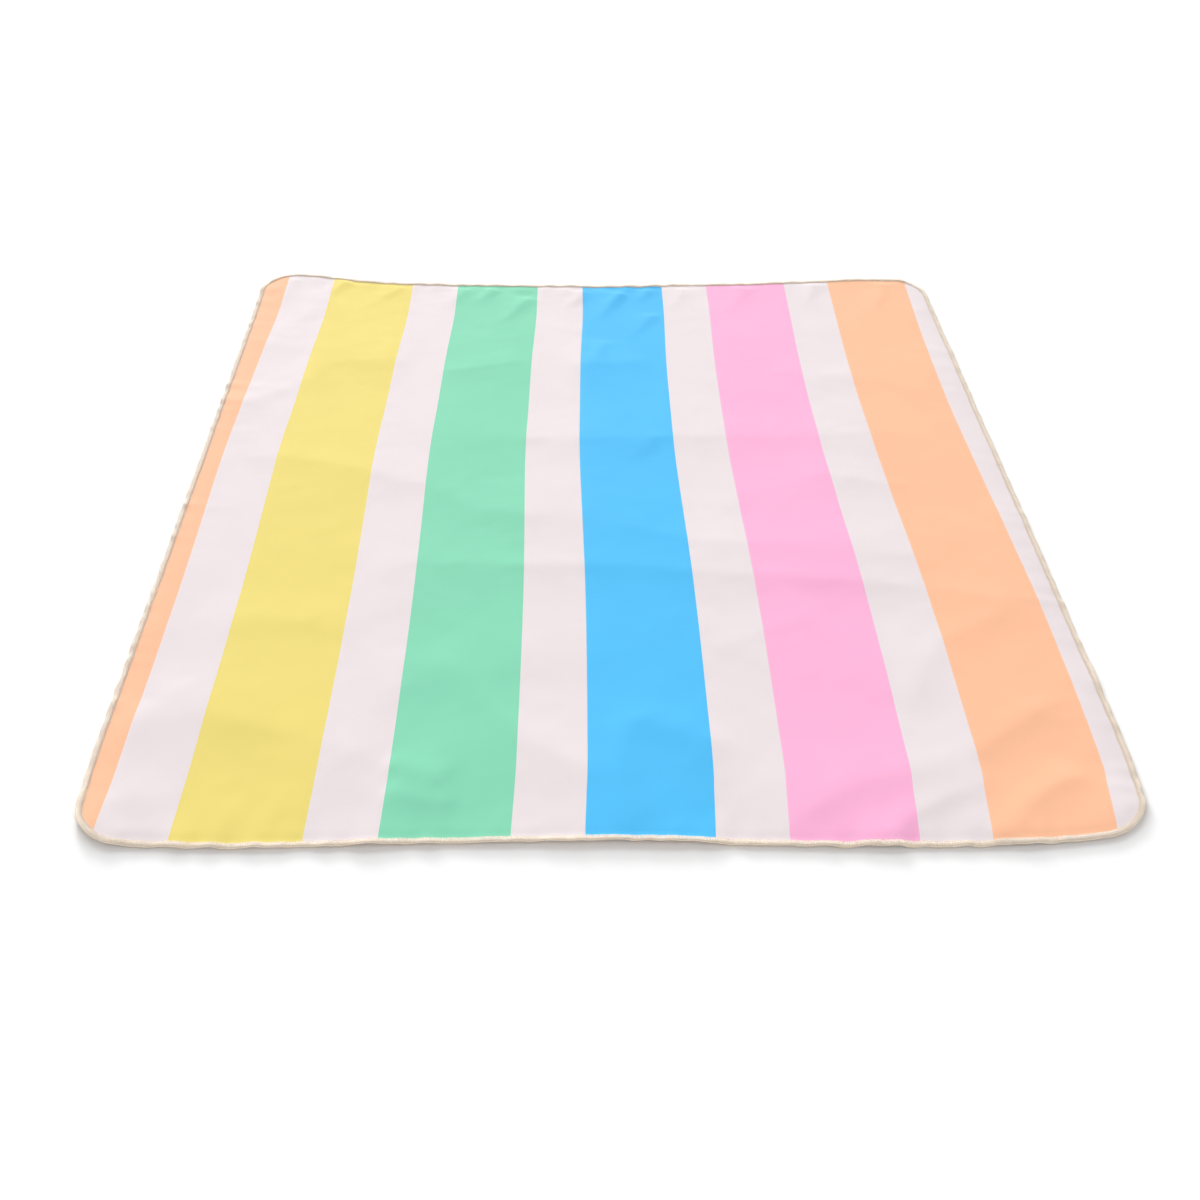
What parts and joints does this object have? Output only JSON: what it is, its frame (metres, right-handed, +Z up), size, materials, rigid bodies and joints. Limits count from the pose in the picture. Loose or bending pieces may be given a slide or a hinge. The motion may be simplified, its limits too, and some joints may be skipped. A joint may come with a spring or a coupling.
{
  "type": "picnic blanket",
  "caption": "Flat rounded rectangular picnic blanket with a striped printed top, foam wadding, waterproof backing and overlocked edge. It folds in half.",
  "frame": {"origin": "On the ground, under the middle of the blanket, on the fold line", "axes": "+X across the stripes, +Y along the stripes and away from the front edge, +Z up out of the printed face"},
  "size_m": [1.5, 1.8, 0.0038],
  "materials": {
    "printed_polyester": "soft woven polyester with printed pastel stripes, matt",
    "foam_wadding": "open-cell foam sheet, matt",
    "coated_backing": "coated waterproof polyester in dusty rose, slightly satin",
    "overlock_thread": "bulked polyester thread in cream, matt"
  },
  "bodies": {
    "front_half": {"backing_sheet_front": "coated_backing", "wadding_front": "foam_wadding", "top_sheet_front": "printed_polyester", "needle_thread_front": "overlock_thread", "upper_looper_thread_front": "overlock_thread", "lower_looper_thread_front": "overlock_thread"},
    "back_half": {"backing_sheet_back": "coated_backing", "wadding_back": "foam_wadding", "top_sheet_back": "printed_polyester", "needle_thread_back": "overlock_thread", "upper_looper_thread_back": "overlock_thread", "lower_looper_thread_back": "overlock_thread"}
  },
  "joints": [
    {"name": "half_fold", "type": "hinge", "parent": "front_half", "child": "back_half", "pos_m": [0, 0, 0.0098], "axis": [1, 0, 0], "range_deg": [0, 180]}
  ]
}
